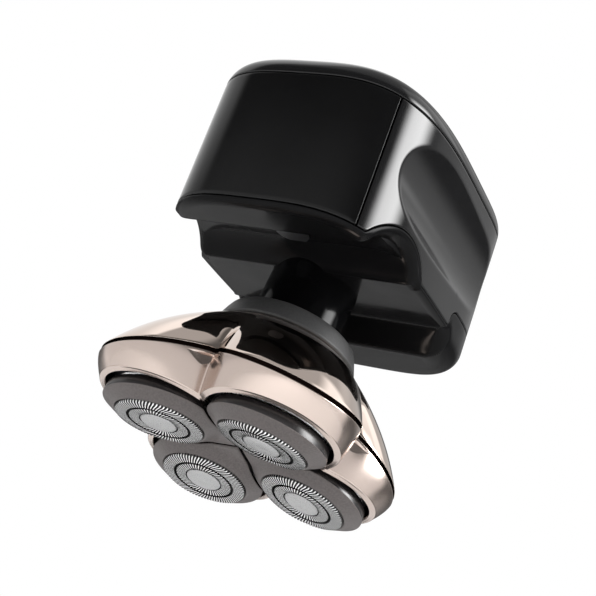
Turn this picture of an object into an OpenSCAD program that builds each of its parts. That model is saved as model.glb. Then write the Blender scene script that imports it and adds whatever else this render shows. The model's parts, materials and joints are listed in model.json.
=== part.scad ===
// Palm-held four-head rotary head shaver.
// The head axis is vertical, the cutters point down and the handle sits on top, pitched back.
// Millimetres, +Z up, front towards -Y, origin at the bottom centre of the whole object.

/* [Cutting heads] */
// Outer radius of one steel shaving disc
disc_r = 10; // [9.6:0.1:10.4]
// Distance between neighbouring discs
disc_pitch = 25.6; // [25.2:0.1:26.4]
// Tilt of each disc towards the head axis, degrees
disc_tilt = 6; // [4:0.5:7]
// How far each head floats in, against its spring
float_travel = 1.2; // [0.6:0.1:1.2]

/* [Blade frame and hair chamber] */
// Radius of each of the four lobes at the seam
lobe_r = 17; // [16.8:0.1:17.4]
// Distance from the head axis to the middle of a lobe at the seam
lobe_d = 19.4; // [19:0.1:19.6]
// Height of the frame's lower edge over the discs
frame_low_z = 4; // [3.6:0.1:4.4]
// Height of the seam at the tip of a lobe
seam_tip_z = 8.9; // [8.7:0.1:9.4]
// Rise of the seam from a lobe's tip to the notch beside it
seam_rise = 5.2; // [4.6:0.1:5.4]
// Height of the hair chamber's top
chamber_top_z = 28.6; // [28.2:0.1:29]
// Radius of the hair chamber's top
chamber_top_r = 16.9; // [16.8:0.1:17.4]
// How far the hair chamber bulges, from 0, straight, to 1, round
chamber_bulge = 0.35; // [0.25:0.05:0.6]
// Wall thickness of the gold shells
gold_wall = 1.3; // [1.1:0.1:1.4]

/* [Collar and neck] */
// Height of the rubber collar's upper edge
collar_top_z = 34; // [33.4:0.1:34.4]
// Outer radius of the collar's upper edge
collar_top_r = 15.5; // [15:0.1:16]
// Radius of the neck
neck_r = 10.4; // [10:0.1:10.45]

/* [Handle] */
// Backward pitch of the handle, degrees
pitch = 8.8; // [7:0.1:9.5]
// Greatest half-width of the handle
half_w = 29; // [28:0.5:30]
// Distance from the widest place to the front
front_d = 48; // [47:0.5:49]
// Distance from the widest place to the rear
rear_d = 27.4; // [27:0.2:28.4]
// Distance of the widest place behind the head axis
widest_v = 10.5; // [10:0.5:11]
// Height of the handle's flat underside over its pitch point
base_w = 2.2; // [2:0.1:2.4]
// Height of the seam under the top cap
cap_seam_w = 35.2; // [34.6:0.1:36]
// Height of the top
top_w = 41; // [40.6:0.1:41.6]
// How far the rear foot hangs below the flat underside
foot_drop = 5.8; // [5.4:0.1:6.2]
// Half-width of the front panel
panel_half_w = 22.3; // [21:0.1:23]
// Wall thickness of the handle's mouldings
wall = 2; // [1.8:0.1:2.2]

/* [Finger arch] */
// Radius of the groove for the finger
arch_r = 10.8; // [10.4:0.1:11.2]
// Place of the groove's axis along the handle
arch_v = -17.2; // [-17.6:0.1:-17]
// Height of the groove's axis
arch_w = -3.8; // [-4.2:0.1:-3.4]

/* [Power button] */
// Radius of the power button
button_r = 4; // [3.5:0.1:4.4]
// Travel of the power button
button_travel = 0.6; // [0.4:0.1:0.7]

/* [Side scoop] */
// Depth of the finger scoop in each side
scoop_depth = 2.6; // [2:0.1:3]
// Yaw of the scoop, which follows the side inwards at the front, degrees
scoop_yaw = 2; // [1:0.5:3]
// Height of the scoop's lower edge
scoop_low_w = 11.2; // [11:0.1:13]
// Height of the scoop's upper edge
scoop_high_w = 31.4; // [30:0.1:32]

/* [Charging socket] */
// Radius of the mouth that takes the plug
socket_r = 2.9; // [2.6:0.05:3]
// Depth of the mouth
socket_depth = 4; // [3.5:0.1:4.5]

/* [Hidden] */
$fn = 64;

eps = 0.01;
far = 60;
// Handle: places along and across the pitched handle
pitch_z = 46;
front_n = 3.45;
rear_n = 4.9;
plan_count = 96;
panel_low_w = base_w + 1.3;
rear_seam_w = 8;
foot_v = 14;
foot_corner_r = 4;
foot_round = 6.5;
cap_round = 5;
lip_drop = 1.6;
band_w = 2.8;
rear_v = widest_v + rear_d;
front_v = widest_v - front_d;
scoop_start = -36.5;
// Head: lift of the disc centres over the lowest rim, and offset that centres the object in Y
rim_chamfer = 0.4;
lift = (disc_r - rim_chamfer) * sin(disc_tilt);
front_y = front_v * cos(pitch) - cap_seam_w * sin(pitch);
back_y = rear_v * cos(pitch) - base_w * sin(pitch);
head_y = -(front_y + back_y) / 2;
disc_d = disc_pitch / 2;
frame_low_r = 15.9;
seam_gap = 0.05;
// Cutter unit: heights over the disc's face, along its own axis
petal_low = 2.4;
petal_top = 4.9;
petal_r = 13.5;
petal_gap = 0.25;
well_r = disc_r + 0.1;
face_low = 0.5;
comb_top = 3.9;
comb_flange_r = 10.9;
comb_face = 0.35;
groove_r = 0.7 * disc_r;
cap_r = 0.42 * disc_r;
cutter_top = 4.6;
spindle_tip = 3.6;
spindle_neck = cutter_top + float_travel + 0.3;
socket_floor = spindle_tip - float_travel - 0.3;
spindle_square = 2.6;
holder_spring_h = 1.8;
// Gear train
central_teeth = 24;
pinion_teeth = 20;
disc_distance = disc_d * sqrt(2);
spindle_d = disc_d + 3.3 * sin(disc_tilt) / sqrt(2);
gear_distance = spindle_d * sqrt(2);
gear_module = 2 * gear_distance / (central_teeth + pinion_teeth);
gear_low_z = 11.5;
gear_h = 3;
gear_clear = 0.3;
gearbox_wall = 1;
gearbox_r = 9.9;
spindle_r = 2;
run_gap = 0.05;
retainer_z = 8.1;
retainer_h = 0.8;
// Coupling and neck
hub_r = 4;
hub_top_z = 24.4;
hex_low_z = 19.4;
hex_flats = 4.6;
hex_gap = 0.2;
socket_floor_z = 25.6;
neck_low_z = socket_floor_z + 0.3;
housing_r = 12.6;
housing_top_z = 33;
bearing_r = 6;
latch_z = 27.4;
latch_h = 1;
seal_z = 30;
seal_wire_r = 0.7;
neck_fit = 0.12;
neck_wall = 2;
shaft_r = 2;
shaft_seal_z = 33;
shaft_seal_h = 3;
// Motor group
boss_r = 12.6;
boss_top_z = 53.2;
flange_h = 2;
mount_h = 2;
mount_r = 12.4;
motor_r = 12;
motor_h = 25;
motor_z = boss_top_z + flange_h + mount_h;
motor_bore_h = 6;
mount_screw_d = 6;
screw_r = 1;
screw_head_r = 1.9;
screw_head_h = 1.2;
// Button and switch
button_low_w = 6.4;
button_flange_w = 9.3;
button_flange_r = 5.2;
button_top_w = 10.1;
switch_w = 12.6;
switch_body = 6;
// Battery
cell_x = 27;
cell_r = 4.5;
cell_v = 24.5;
cell_low_w = 11.5;
cell_high_w = 34;
cradle_wall = 1.3;
cradle_h = 6;
leg_x = 13;
leg_r = 2;
// Charging socket
socket_w = 3.9;
socket_body_r = 3.7;
socket_body_h = 9.5;
socket_step_r = 0.3;
// Screws between the lower housing and the shell
case_screw_x = 22.6;
case_screws_v = [0, 27];
post_r = 3;
lug_low_w = 9.5;
lug_h = 2;

// ---------------------------------------------------------------- frames
module on_axis() translate([0, head_y, lift]) children();
module in_handle() on_axis() translate([0, 0, pitch_z]) rotate([pitch, 0, 0]) children();

// Signs of a head's place: 1 front left, 2 front right, 3 rear left, 4 rear right
function side_x(i) = i % 2 == 1 ? -1 : 1;
function side_y(i) = i <= 2 ? -1 : 1;
module at_head(i) on_axis() translate([side_x(i) * disc_d, side_y(i) * disc_d, 0]) children();
module on_disc(i) at_head(i) rotate(v = [-side_y(i), side_x(i), 0], a = disc_tilt) children();

// ---------------------------------------------------------------- outlines
function superellipse(a, b, n, t) = [a * sign(sin(t)) * pow(abs(sin(t)), 2 / n), b * pow(abs(cos(t)), 2 / n)];
// Point of the handle's plan at angle t from the front, moved in by inset
function plan_point(t, inset) = cos(t) > 0
    ? [superellipse(half_w - inset, front_d - inset, front_n, t)[0],
       widest_v - superellipse(half_w - inset, front_d - inset, front_n, t)[1]]
    : [superellipse(half_w - inset, rear_d - inset, rear_n, t)[0],
       widest_v + superellipse(half_w - inset, rear_d - inset, rear_n, t)[1]];
module plan(inset = 0) polygon([for (k = [0:plan_count - 1]) plan_point(360 * k / plan_count, inset)]);
module prism(low, high, inset = 0) translate([0, 0, low]) linear_extrude(high - low) plan(inset);

// Angle away from the nearest lobe's tip
function off_lobe(t) = abs((t % 90) - 45);
// Distance from the head axis to a lobed outline: lobes of radius r, d away from the axis
function lobe(t, d, r) = d * cos(off_lobe(t)) + sqrt(r * r - pow(d * sin(off_lobe(t)), 2));
function mix(a, b, s) = a + (b - a) * s;
function seam_z(t) = seam_tip_z + seam_rise * pow(off_lobe(t) / 45, 2);
function polar(t, r, z) = [r * cos(t), r * sin(t), z];

// Closed ring through loops[i][j]: i runs round the axis, j round the section
module ring_loft(loops) {
    n = len(loops);
    m = len(loops[0]);
    function at(i, j) = (i % n) * m + (j % m);
    polyhedron(
        points = [for (loop = loops) each loop],
        faces = [for (i = [0:n - 1], j = [0:m - 1], half = [0:1])
            half == 0 ? [at(i, j), at(i, j + 1), at(i + 1, j + 1)] : [at(i, j), at(i + 1, j + 1), at(i + 1, j)]]);
}

// Round wire wound into a helix that rises from z = 0
module helix(r, h, wire_r, turns) {
    steps = round(turns * 16);
    sides = 6;
    function turn(k) = 360 * turns * k / steps;
    function rise(k) = wire_r + (h - 2 * wire_r) * k / steps;
    function at(k, s) = k * sides + (s % sides);
    polyhedron(
        points = [for (k = [0:steps], s = [0:sides - 1])
            polar(turn(k), r + wire_r * cos(60 * s), rise(k) + wire_r * sin(60 * s))],
        faces = concat(
            [for (k = [0:steps - 1], s = [0:sides - 1], half = [0:1])
                half == 0 ? [at(k, s), at(k, s + 1), at(k + 1, s + 1)] : [at(k, s), at(k + 1, s + 1), at(k + 1, s)]],
            [[for (s = [0:sides - 1]) at(0, sides - 1 - s)]],
            [[for (s = [0:sides - 1]) at(steps, s)]]));
}

module tube(r, bore, low, high) translate([0, 0, low]) difference() {
    cylinder(r = r, h = high - low);
    translate([0, 0, -1]) cylinder(r = bore, h = high - low + 2);
}

module rod(r, low, high) translate([0, 0, low]) cylinder(r = r, h = high - low);

// ---------------------------------------------------------------- handle shells
// Cylinder across the handle on the finger arch's axis
module arch_bar(r) translate([-far, arch_v, arch_w]) rotate([0, 90, 0]) cylinder(r = r, h = 2 * far);

// Everything that belongs to the lower housing, seen from the side
module lower_region() {
    translate([-far, -far, -far]) cube([2 * far, 2 * far, far + panel_low_w]);
    arch_bar(arch_r + band_w);
    translate([-far, foot_v + foot_corner_r, -far]) cube([2 * far, far, far + rear_seam_w]);
    translate([-far, foot_v + foot_corner_r, rear_seam_w - foot_corner_r])
        rotate([0, 90, 0]) cylinder(r = foot_corner_r, h = 2 * far);
}

// Long scoop in one side: a lying capsule that is open to the rear, grown for the wall behind it
module scoop(side, grow = 0) {
    mid_w = (scoop_low_w + scoop_high_w) / 2;
    chord = (scoop_high_w - scoop_low_w) / 2;
    r = (chord * chord + scoop_depth * scoop_depth) / (2 * scoop_depth);
    translate([side * (half_w - scoop_depth + r), widest_v, mid_w]) rotate([0, 0, -side * scoop_yaw]) {
        translate([0, scoop_start, 0]) sphere(r = r + grow);
        translate([0, scoop_start, 0]) rotate([-90, 0, 0]) cylinder(r = r + grow, h = 2 * far);
    }
}

module panel_window(inset = 0) translate([-panel_half_w + inset, -far, -far])
    cube([2 * (panel_half_w - inset), far - 20, 2 * far]);

module shell_ring() difference() {
    union() {
        difference() {
            prism(base_w, cap_seam_w);
            prism(0, cap_seam_w + 1, wall);
        }
        for (side = [-1, 1]) intersection() {
            scoop(side, wall);
            prism(base_w, cap_seam_w, wall / 2);
        }
    }
    lower_region();
    panel_window();
    for (side = [-1, 1]) scoop(side);
}

module main_shell() color("#131315") difference() {
    union() {
        in_handle() shell_ring();
        shell_lugs();
    }
    at_case_screws() rod(screw_r + run_gap, lug_low_w - 1, lug_low_w + lug_h + 1);
}

// Lugs inside the shell that the case screws pull down on the posts
module shell_lugs() in_handle() intersection() {
    for (side = [-1, 1], v = case_screws_v) translate([side * (case_screw_x + 5), v, lug_low_w + lug_h / 2])
        cube([2 * post_r + 10, 2 * post_r, lug_h], center = true);
    prism(0, far, wall / 2);
}

module front_panel() color("#0c0c0e") in_handle() intersection() {
    difference() {
        prism(panel_low_w, cap_seam_w);
        prism(0, cap_seam_w + 1, wall);
        lower_region();
    }
    panel_window();
}

// Cap with a rounded rim: stacked plans, each a little smaller
module top_cap() color("#17171a") in_handle() difference() {
    hull() for (k = [0:5]) {
        inset = cap_round * (1 - cos(18 * k));
        rise = (top_w - cap_seam_w - eps) * sin(18 * k);
        translate([0, 0, cap_seam_w + rise]) linear_extrude(eps) plan(inset);
    }
    prism(cap_seam_w - 1, top_w - wall, wall + cap_round / 2);
    prism(cap_seam_w - 1, cap_seam_w + 1, wall);
}

// Rounded lip under the front panel
module lip() intersection() {
    hull() for (k = [0:3]) {
        inset = 3 * (1 - cos(30 * k));
        translate([0, 0, panel_low_w - eps - lip_drop * sin(30 * k)]) linear_extrude(eps) plan(inset);
    }
    translate([-far, -far, -far]) cube([2 * far, far + arch_v, 2 * far]);
}

// Foot that hangs down at the rear
module foot() intersection() {
    hull() for (k = [0:3]) {
        inset = foot_round * (1 - cos(30 * k));
        translate([0, 0, base_w - foot_drop * sin(30 * k)]) linear_extrude(eps) plan(inset);
    }
    hull() {
        translate([-far, foot_v, base_w]) cube([2 * far, far, 1]);
        translate([-far, foot_v + 5, base_w - foot_drop - 1]) cube([2 * far, far, 1]);
    }
}

// Places of the screws that hold the shell on the lower housing
module at_case_screws() in_handle() for (side = [-1, 1], v = case_screws_v)
    translate([side * case_screw_x, v, 0]) children();

module at_mount_screws() on_axis() for (side = [-1, 1]) translate([side * mount_screw_d, 0, 0]) children();

// Frame at the rear face's middle, with +Z into the handle
module at_socket() in_handle() translate([0, rear_v, socket_w]) rotate([90, 0, 0]) children();

module lower_skin() difference() {
    union() {
        intersection() {
            prism(base_w, rear_seam_w + 4);
            lower_region();
        }
        lip();
        foot();
    }
    difference() {
        prism(base_w + wall, far, wall);
        arch_bar(arch_r + wall);
    }
    intersection() {
        prism(base_w - foot_drop + wall, base_w + wall + 1, wall + 4);
        translate([-far, foot_v + 6, -far]) cube([2 * far, far, 2 * far]);
    }
}

module lower_housing() color("#101012") difference() {
    union() {
        in_handle() lower_skin();
        at_case_screws() rod(post_r, base_w + 1, lug_low_w);
        on_axis() rod(boss_r, pitch_z + base_w + 1, boss_top_z);
    }
    in_handle() arch_bar(arch_r);
    in_handle() translate([0, arch_v, 0]) {
        rod(button_r + 0.25, 0, 20);
        rod(button_flange_r + 0.4, button_flange_w - 0.3, 20);
    }
    at_socket() rod(socket_body_r + eps, -1, socket_body_h + 1);
    on_axis() rod(neck_r + run_gap, 30, 80);
    at_case_screws() rod(screw_r, lug_low_w - 4, lug_low_w + 1);
}

module neck_tube() color("#08080a") on_axis() difference() {
    union() {
        rod(neck_r, neck_low_z, boss_top_z + eps);
        rod(mount_r, boss_top_z, boss_top_z + flange_h);
    }
    rod(neck_r - neck_wall, neck_low_z - 1, boss_top_z + flange_h + 1);
    tube(neck_r + 1, neck_r - 2 * seal_wire_r, seal_z - 0.8, seal_z + 0.8);
}

module neck_seal() color("#2a2a2a") on_axis() translate([0, 0, seal_z]) rotate_extrude()
    translate([neck_r + run_gap - seal_wire_r, 0]) circle(r = seal_wire_r, $fn = 24);

module shaft_seal() color("#303030") on_axis()
    tube(neck_r - neck_wall, shaft_r + run_gap, shaft_seal_z, shaft_seal_z + shaft_seal_h);

module motor_mount() color("#8a8d90") difference() {
    on_axis() tube(mount_r, shaft_r + 2, motor_z - mount_h, motor_z);
    at_mount_screws() rod(screw_r, motor_z - mount_h - 1, motor_z + 1);
}

module mount_screws() color("#b8b8bc") at_mount_screws() {
    rod(screw_r, motor_z - mount_h, motor_z + 2.5);
    rod(screw_head_r, motor_z - mount_h - screw_head_h, motor_z - mount_h);
}

module drive_motor() color("#9a9da0") difference() {
    on_axis() union() {
        rod(motor_r, motor_z, motor_z + motor_h);
        rod(3, motor_z + motor_h - eps, motor_z + motor_h + 1.5);
    }
    on_axis() rod(shaft_r + run_gap, motor_z - 1, motor_z + motor_bore_h);
    at_mount_screws() rod(screw_r, motor_z - 1, motor_z + 2.5);
}

module motor_shaft() color("#c4c6c8") on_axis() {
    rod(shaft_r, hex_low_z + 4, motor_z + motor_bore_h - 0.3);
    translate([0, 0, hex_low_z + 0.5]) cylinder(r = hex_flats / sqrt(3), h = 5, $fn = 6);
}

module control_board() color("#1f5a35") in_handle() translate([-19, -30, 12]) cube([38, 1.2, 20]);

module switch_board() color("#1f5a35") in_handle() translate([-9, arch_v - 7, switch_w]) cube([18, 12, 1.2]);

module tact_switch() color("#404348") in_handle() translate([0, arch_v, 0]) {
    translate([-switch_body / 2, -switch_body / 2, switch_w - 1.6]) cube([switch_body, switch_body, 1.6]);
    rod(1.6, button_top_w + button_travel + 0.05, switch_w - 1.6 + eps);
}

module power_button() color("#1c1c1f") in_handle() translate([0, arch_v, 0]) {
    rod(button_r, button_low_w, button_flange_w + eps);
    rod(button_flange_r, button_flange_w, button_top_w - 0.2);
    rod(1.2, button_top_w - 0.2 - eps, button_top_w);
}

module button_spring() color("#d0d2d4") in_handle() translate([0, arch_v, button_top_w - 0.2])
    helix(4.7, switch_w - button_top_w + 0.2, 0.25, 2.5);

module cell_shape(grow) {
    half_x = cell_x / 2;
    translate([-half_x, cell_v - cell_r - grow, cell_low_w]) cube([cell_x, 2 * (cell_r + grow), cell_high_w - cell_low_w]);
    for (side = [-1, 1]) translate([side * half_x, cell_v, 0]) rod(cell_r + grow, cell_low_w, cell_high_w);
}

module battery_cell() color("#3b6ea5") in_handle() cell_shape(0);

module battery_cradle() color("#26272a") in_handle() {
    difference() {
        translate([0, 0, -cradle_wall]) intersection() {
            cell_shape(cradle_wall);
            translate([-far, -far, 0]) cube([2 * far, 2 * far, cell_low_w + cradle_h]);
        }
        cell_shape(eps);
    }
    for (side = [-1, 1]) translate([side * leg_x, cell_v, 0])
        rod(leg_r, base_w - foot_drop + wall, cell_low_w - cradle_wall + eps);
}

module charging_socket() color("#1a1a1c") at_socket() {
    difference() {
        rod(socket_body_r, 0, socket_body_h);
        rod(socket_r, -1, socket_depth);
        rod(socket_r - socket_step_r, 0, socket_body_h - 1);
    }
    rod(0.65, socket_depth + 0.5, socket_body_h - 1 + eps);
}

module housing_screws() color("#b8b8bc") at_case_screws() {
    rod(screw_r, lug_low_w - 4, lug_low_w + lug_h + eps);
    rod(screw_head_r, lug_low_w + lug_h, lug_low_w + lug_h + screw_head_h);
}

// ---------------------------------------------------------------- head
module rubber_collar() color("#2b2b2d") on_axis() rotate_extrude($fn = 96) polygon([
    [housing_r + run_gap, chamber_top_z + 0.4], [chamber_top_r - 0.1, chamber_top_z + 0.1],
    [chamber_top_r + 0.2, chamber_top_z + 0.6], [collar_top_r + 0.4, collar_top_z - 1.2],
    [collar_top_r, collar_top_z - 0.4], [collar_top_r - 0.8, collar_top_z],
    [housing_r + run_gap, collar_top_z - 0.4]]);

// Outer point of the hair chamber at angle t and height fraction s, moved in by inset
function chamber_point(t, s, inset) = polar(t,
    mix(lobe(t, lobe_d, lobe_r - inset), chamber_top_r - inset, mix(s, 1 - cos(90 * s), chamber_bulge)),
    mix(seam_z(t), chamber_top_z - inset * s, mix(s, sin(90 * s), chamber_bulge)));

module hair_chamber() color("#cbb9a6") on_axis() ring_loft([for (k = [0:95]) let (t = k * 3.75)
    [for (s = [0:0.2:1]) chamber_point(t, s, 0),
     polar(t, housing_r + run_gap, chamber_top_z + 0.3),
     polar(t, housing_r + run_gap, chamber_top_z - gold_wall),
     for (s = [1, 0.5, 0]) chamber_point(t, s, gold_wall)]]);

module drive_housing() color("#1b1b1d") on_axis() difference() {
    rod(housing_r, gear_low_z + gear_h + gear_clear + gearbox_wall, housing_top_z);
    rod(neck_r + neck_fit, socket_floor_z, housing_top_z + 1);
    rod(hub_r + run_gap, gear_low_z, housing_top_z);
    tube(housing_r - 2, bearing_r, gear_low_z, socket_floor_z - 2);
    tube(neck_r + 1, neck_r - 1, latch_z - 0.1, latch_z + latch_h + 0.1);
}

module latch_ring() color("#c4c6c8") on_axis() difference() {
    tube(neck_r + 0.9, neck_r + neck_fit + 0.1, latch_z, latch_z + latch_h);
    translate([0, -3, latch_z - 1]) cube([far, 6, 4]);
}

// Solid outline of the gearbox: one drum round each gear
module gear_drums(r, low, high) {
    rod(gear_module * central_teeth / 2 + r - gear_module * pinion_teeth / 2, low, high);
    for (i = [1:4]) translate([side_x(i) * spindle_d, side_y(i) * spindle_d, 0]) rod(r, low, high);
}

module at_pinion(i) on_axis() translate([side_x(i) * spindle_d, side_y(i) * spindle_d, 0]) children();

module gear_cover() color("#d8d4cc") {
    top = gear_low_z + gear_h + gear_clear;
    difference() {
        on_axis() difference() {
            gear_drums(gearbox_r, gear_low_z - gear_clear, top + gearbox_wall);
            gear_drums(gearbox_r - 0.5, gear_low_z - gear_clear - 1, top);
            rod(hub_r + run_gap, 0, far);
        }
        for (i = [1:4]) at_pinion(i) rod(1.5 + run_gap, 0, far);
    }
}

module gear_plate() color("#d8d4cc") difference() {
    on_axis() difference() {
        gear_drums(gearbox_r, gear_low_z - gear_clear - gearbox_wall, gear_low_z - gear_clear);
        rod(1.5 + run_gap, 0, far);
    }
    for (i = [1:4]) at_pinion(i) rod(spindle_r + run_gap, 0, far);
}

// Spur gear with straight-sided teeth and a little backlash; one tooth is centred on +X
module gear(teeth) {
    pitch_r = gear_module * teeth / 2;
    tip_r = pitch_r + 0.9 * gear_module;
    root_r = pitch_r - 1.15 * gear_module;
    half = 90 / teeth * 0.9;
    at_tip = half - atan(0.9 * gear_module * tan(20) / tip_r);
    at_root = half + atan(1.15 * gear_module * tan(20) / root_r);
    linear_extrude(gear_h) polygon([for (k = [0:teeth - 1], p = [[root_r, -at_root], [tip_r, -at_tip],
        [tip_r, at_tip], [root_r, at_root]])
            let (a = 360 * k / teeth + p[1]) [p[0] * cos(a), p[0] * sin(a)]]);
}

module central_gear() color("#e6e2da") on_axis() difference() {
    union() {
        translate([0, 0, gear_low_z]) gear(central_teeth);
        rod(1.5, gear_low_z - gear_clear - gearbox_wall, gear_low_z + eps);
        rod(hub_r, gear_low_z + gear_h - eps, hub_top_z);
    }
    translate([0, 0, hex_low_z]) cylinder(r = (hex_flats + 2 * hex_gap) / sqrt(3), h = far, $fn = 6);
}

module pinion(i) color("#e6e2da") at_pinion(i) {
    translate([0, 0, gear_low_z]) gear(pinion_teeth);
    rod(1.5, gear_low_z + gear_h - eps, gear_low_z + gear_h + gear_clear + gearbox_wall);
    rod(spindle_r, spindle_neck, gear_low_z + eps);
    translate([-spindle_square / 2, -spindle_square / 2, spindle_tip])
        cube([spindle_square, spindle_square, spindle_neck - spindle_tip + eps]);
}

// Outer point of the blade frame at angle t and height fraction s, moved in by inset
function frame_point(t, s, inset) = polar(t,
    lobe(t, mix(disc_distance, lobe_d, s), mix(frame_low_r, lobe_r, sin(90 * s)) - inset),
    mix(frame_low_z, seam_z(t) - seam_gap, s));

module blade_frame() color("#cbb9a6") on_axis() ring_loft([for (k = [0:95]) let (t = k * 3.75)
    [for (s = [0:0.25:1]) frame_point(t, s, 0), for (s = [1:-0.25:0]) frame_point(t, s, gold_wall)]]);

module retaining_plate() color("#232325") difference() {
    on_axis() {
        rod(13, retainer_z, retainer_z + retainer_h);
        for (i = [1:4]) translate([side_x(i) * disc_d, side_y(i) * disc_d, 0])
            rod(lobe_r - gold_wall - 0.6, retainer_z, retainer_z + retainer_h);
    }
    for (i = [1:4]) at_head(i) rod(9, 0, far);
}

module holder_spring(i) color("#d0d2d4") on_disc(i) translate([0, 0, petal_top])
    helix(11.9, holder_spring_h, 0.3, 1.5);

// Half-space box that keeps one quarter of the head, seen from that quarter's disc
module quarter(i) translate([side_x(i) * (far - disc_d + petal_gap), side_y(i) * (far - disc_d + petal_gap), 0])
    cube(2 * far, center = true);

module cutter_holder(i) color("#57504f") on_disc(i) difference() {
    intersection() {
        union() {
            rotate_extrude($fn = 96) polygon([[0, face_low], [well_r + 0.3, face_low], [petal_r, petal_low],
                [petal_r - 0.3, petal_top], [0, petal_top]]);
            translate([-side_x(i) * disc_d / 2, -side_y(i) * disc_d / 2, (petal_low + petal_top) / 2])
                cube([disc_d, disc_d, petal_top - petal_low], center = true);
        }
        quarter(i);
    }
    rod(well_r, 0, petal_top + 1);
    rod(comb_flange_r + 0.1, comb_top - 0.6, petal_top + 1);
}

module shaving_comb(i) color("#c9cbcd") on_disc(i) rotate_extrude($fn = 96) {
    inner = cap_r + 0.1;
    half_groove = 0.6;
    wall_r = disc_r - 0.3;
    polygon([[2.4, 0.3], [inner, 0.3], [inner, 0], [groove_r - half_groove, 0],
        [groove_r - half_groove, 0.4], [groove_r + half_groove, 0.4], [groove_r + half_groove, 0],
        [disc_r - rim_chamfer, 0], [disc_r, rim_chamfer], [disc_r, 0.9], [wall_r, 1.2],
        [wall_r, comb_top - 0.6], [comb_flange_r, comb_top - 0.6], [comb_flange_r, comb_top],
        [wall_r - 0.4, comb_top], [wall_r - 0.4, comb_face],
        [groove_r + half_groove + comb_face, comb_face], [groove_r + half_groove + comb_face, 0.75],
        [groove_r - half_groove - comb_face, 0.75], [groove_r - half_groove - comb_face, comb_face],
        [inner + comb_face, comb_face], [inner + comb_face, 0.65], [2.4, 0.65]]);
}

module comb_cap(i) color("#d6d7d8") on_disc(i) {
    rotate_extrude() polygon([[0, -0.3], [cap_r - 0.4, -0.3], [cap_r, 0], [cap_r, 0.3], [0, 0.3]]);
    rod(2.4, 0.3 - eps, 0.9);
}

module rotary_cutter(i) color("#b4b6b8") on_disc(i) {
    blades = 9;
    low = comb_face + 0.15;
    difference() {
        union() {
            rod(9, 1.5, 2.1);
            rod(3.2, 1.2, cutter_top);
            for (k = [0:blades - 1]) rotate(360 * k / blades) translate([4.9, -0.35, low]) cube([4, 0.7, 1.3]);
        }
        tube(groove_r + 1.2, groove_r - 1.2, 0, 1);
        side = spindle_square + 1.2;
        translate([-side / 2, -side / 2, socket_floor]) cube([side, side, far]);
    }
}

// ---------------------------------------------------------------- output
main_shell();
front_panel();
top_cap();
lower_housing();
neck_tube();
neck_seal();
shaft_seal();
motor_mount();
mount_screws();
drive_motor();
motor_shaft();
control_board();
switch_board();
tact_switch();
power_button();
button_spring();
battery_cell();
battery_cradle();
charging_socket();
housing_screws();
rubber_collar();
hair_chamber();
drive_housing();
latch_ring();
gear_cover();
gear_plate();
central_gear();
blade_frame();
retaining_plate();
for (i = [1:4]) {
    pinion(i);
    holder_spring(i);
    cutter_holder(i);
    shaving_comb(i);
    comb_cap(i);
    rotary_cutter(i);
}
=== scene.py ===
"""Looks of a palm-held rotary head shaver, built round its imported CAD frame.

Shapes are worked out in millimetres from the same driving dimensions as the CAD part, and become metres
when a mesh is made. Handle shapes use the pitched handle's own coordinates: x across, v towards the rear
and w upwards. Head shapes use polar coordinates round the vertical head axis.
"""

import json
import math

import bpy
import numpy as np
from mathutils import Matrix, Vector


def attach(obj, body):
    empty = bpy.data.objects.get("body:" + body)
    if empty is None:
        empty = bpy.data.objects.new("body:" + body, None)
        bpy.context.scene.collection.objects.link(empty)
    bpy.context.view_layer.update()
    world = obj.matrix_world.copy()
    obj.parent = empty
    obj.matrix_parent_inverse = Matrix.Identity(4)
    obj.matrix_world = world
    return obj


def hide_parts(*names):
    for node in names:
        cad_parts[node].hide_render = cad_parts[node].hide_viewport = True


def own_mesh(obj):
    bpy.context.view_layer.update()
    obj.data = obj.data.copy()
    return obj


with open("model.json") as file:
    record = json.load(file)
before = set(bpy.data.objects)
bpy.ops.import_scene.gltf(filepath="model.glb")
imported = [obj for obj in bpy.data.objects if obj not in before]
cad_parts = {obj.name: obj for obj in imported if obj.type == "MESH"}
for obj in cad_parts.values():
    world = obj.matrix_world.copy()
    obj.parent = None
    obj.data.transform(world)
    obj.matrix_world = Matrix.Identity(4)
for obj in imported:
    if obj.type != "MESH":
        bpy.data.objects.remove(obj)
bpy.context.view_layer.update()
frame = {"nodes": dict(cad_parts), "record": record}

# ---------------------------------------------------------------- driving dimensions, in mm
MM = 0.001
# Cutting heads
DISC_R, DISC_PITCH, DISC_TILT = 10.0, 25.6, 6.0
DISC_D = DISC_PITCH / 2
HEADS = range(1, 5)
RIM_CHAMFER = 0.4
PETAL_LOW, PETAL_TOP, PETAL_R, PETAL_GAP = 2.4, 4.9, 13.5, 0.25
WELL_R, FACE_LOW = DISC_R + 0.1, 0.5
CAP_R, GROOVE_R, GROOVE_DEPTH = 4.2, 7.0, 0.42
# The comb's sheet thickness, and the cells that a slot and the rib beside it are made of
SHEET, SLOT_CELLS = 0.3, 6
# Blade frame and hair chamber
LOBE_R, LOBE_D = 17.0, 19.4
FRAME_LOW_R, FRAME_LOW_D, FRAME_LOW_Z = 15.9, DISC_D * math.sqrt(2), 4.0
SEAM_TIP_Z, SEAM_RISE = 8.9, 5.2
CHAMBER_TOP_Z, CHAMBER_TOP_R, CHAMBER_BULGE = 28.6, 16.9, 0.35
GOLD_WALL = 1.3
FRAME_LIP, TONGUE_H = 1.45, 2.0
# Thumb-nail dents: floor's distance from the head axis, its spread and roundness, and its drop under the seam
DENT_FLOOR, DENT_SPREAD, DENT_ROUND, DENT_DROP = 22.1, 1.35, 1.1, 0.6
# Collar and neck
COLLAR_TOP_Z, COLLAR_TOP_R = 34.0, 15.5
HOUSING_R, NECK_R = 12.65, 10.4
NECK_LOW_Z, NECK_HIGH_Z, NECK_ROOT_Z = 25.9, 50.0, 55.2
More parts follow.
